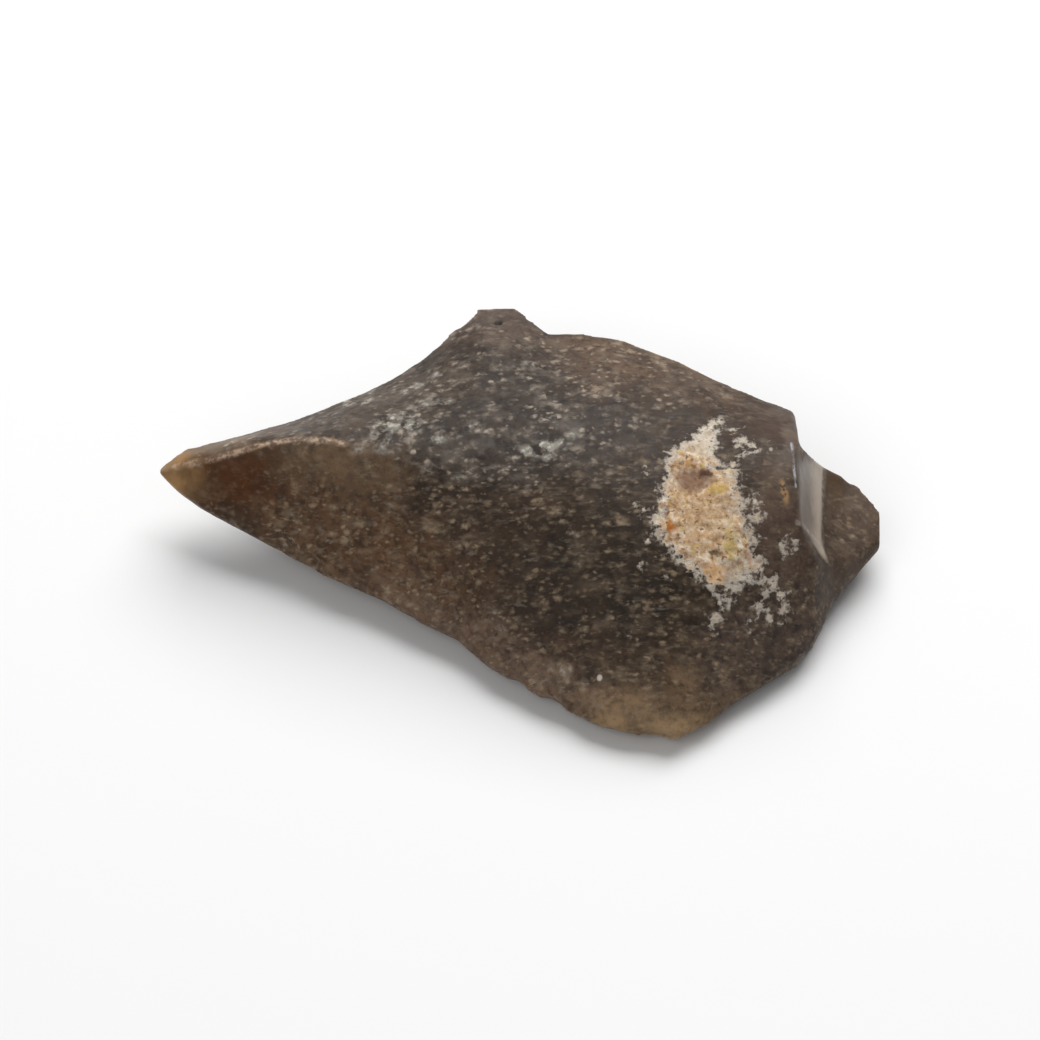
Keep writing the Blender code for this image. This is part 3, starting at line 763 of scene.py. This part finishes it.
    # The chalky cortex, with a ragged border that breaks up into crumbs
    ragged = noiseOf(tree, where, 1.5, 4.0, 0.62)
    ragged = maths(tree, "MULTIPLY", maths(tree, "SUBTRACT", ragged, 0.5), 4.2)
    border = maths(tree, "ADD", ragged, attribute["chalk"])
    chalk = between(tree, border, -0.30, 0.42)
    mealy = noiseOf(tree, where, 2.0, 4.0, 0.62)
    cream = addNode(tree, "ValToRGB", {"Fac": mealy})
    stops = cream.color_ramp.elements
    for stop, (position, shade) in zip(stops, (chalkRamp[0], chalkRamp[-1])):
        stop.position, stop.color = position, tint(*shade)
    for position, shade in chalkRamp[1:-1]:
        stops.new(position).color = tint(*shade)
    cream = cream.outputs["Color"]
    for stain in cortexStains:
        turned = stretched(tree, where, (1, 1, 1), (0, 0, stain["scale"]))
        cloud = noiseOf(tree, turned, stain["scale"], 3.0, 0.6)
        cloud = between(tree, cloud, stain["from"], stain["to"], 0.0, stain["share"])
        cream = blend(tree, cloud, cream, tint(*stain["tint"]))
    near = shifted(tree, where, 1.6, 1.4)
    for spot in cortexSpots:
        cream = blend(tree, shareOf(tree, near, spot, spot["soft"]), cream,
                      tint(*spot["tint"]))
    rim = between(tree, border, 1.0, 0.1, 0.0, 0.65)
    cream = blend(tree, rim, cream, shadeOf("chalkRim"))
    outside = between(tree, attribute["chalk"], 0.45, -0.35, 0.0, 0.7)
    cream = blend(tree, outside, cream, shadeOf("chalkOutside"))
    specks = noiseOf(tree, where, 3.0, 2.0, 0.5)
    specks = between(tree, specks, 0.40, 0.30, 0.0, 0.8)
    cream = blend(tree, specks, cream, shadeOf("chalkSpeck"))
    colour = blend(tree, chalk, colour, cream)
    tree.links.new(colour, shader.inputs["Base Color"])

    polish = between(tree, noiseOf(tree, where, 0.9, 4.0, 0.6), 0.3, 0.7, *gloss["flint"])
    polish = mixed(tree, wall, polish, gloss["wall"])
    tree.links.new(mixed(tree, chalk, polish, gloss["chalk"]), shader.inputs["Roughness"])
    shader.inputs["IOR"].default_value = gloss["ior"]
    shader.inputs["Specular IOR Level"].default_value = gloss["specular"]
    shader.inputs["Subsurface Weight"].default_value = depthGlow["weight"]
    shader.inputs["Subsurface Radius"].default_value = depthGlow["radius"]
    shader.inputs["Subsurface Scale"].default_value = depthGlow["scale"] * mm

    fineHeight = maths(tree, "MULTIPLY", noiseOf(tree, where, 3.6, 4.0, 0.62), 0.05)
    chalkHeight = maths(tree, "MULTIPLY", noiseOf(tree, where, 4.2, 5.0, 0.7), 0.32)
    bump = addNode(tree, "Bump", {"Height": mixed(tree, chalk, fineHeight, chalkHeight),
                                  "Strength": 0.55, "Distance": mm})
    tree.links.new(bump.outputs["Normal"], shader.inputs["Normal"])
    return material


flintStone = makeStone()
flintStone.data.materials.clear()
flintStone.data.materials.append(flintMaterial())
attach(flintStone, "root")
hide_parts("flint_flake")
print("stone finished")

table = {"size": 3.0, "tint": (238, 238, 238)}
lights = [
    {"name": "softbox", "at": (0.10, 0.35, 0.48), "size": 0.55, "power": 4.4},
    {"name": "fill", "at": (-0.25, -0.35, 0.45), "size": 0.50, "power": 1.0},
]
camera = {"elevation": 50.0, "lens": 150.0, "distance": 0.330, "aim": (0.0, 0.0, 0.0045)}
sky = {"tint": (1.0, 1.0, 1.0, 1.0), "strength": 0.22}


def makeTable():
    bpy.ops.object.select_all(action="DESELECT")
    bpy.ops.mesh.primitive_plane_add(size=table["size"])
    floor = bpy.context.object
    floor.name = "table"
    white = bpy.data.materials.new("table_white")
    white.use_nodes = True
    shader = white.node_tree.nodes["Principled BSDF"]
    shader.inputs["Base Color"].default_value = tint(*table["tint"])
    shader.inputs["Roughness"].default_value = 0.7
    floor.data.materials.append(white)


def makeLights():
    aim = Vector(camera["aim"])
    for light in lights:
        data = bpy.data.lights.new(light["name"], "AREA")
        data.size, data.energy = light["size"], light["power"]
        lamp = bpy.data.objects.new(light["name"], data)
        bpy.context.scene.collection.objects.link(lamp)
        lamp.location = light["at"]
        lamp.rotation_euler = (aim - Vector(light["at"])).to_track_quat("-Z", "Y").to_euler()
    world = bpy.data.worlds.new("studio")
    world.use_nodes = True
    background = world.node_tree.nodes["Background"]
    background.inputs["Color"].default_value = sky["tint"]
    background.inputs["Strength"].default_value = sky["strength"]
    bpy.context.scene.world = world


def makeCamera():
    data = bpy.data.cameras.new("camera")
    data.lens, data.sensor_width, data.clip_start = camera["lens"], 36.0, 0.01
    eye = bpy.data.objects.new("camera", data)
    bpy.context.scene.collection.objects.link(eye)
    lift = math.radians(camera["elevation"])
    back = Vector((0, -math.cos(lift), math.sin(lift)))
    eye.location = Vector(camera["aim"]) + back * camera["distance"]
    eye.rotation_euler = (-back).to_track_quat("-Z", "Y").to_euler()
    bpy.context.scene.camera = eye


makeTable()
makeLights()
makeCamera()
bpy.context.scene.view_settings.view_transform = "Standard"
print("table, lights and camera set")
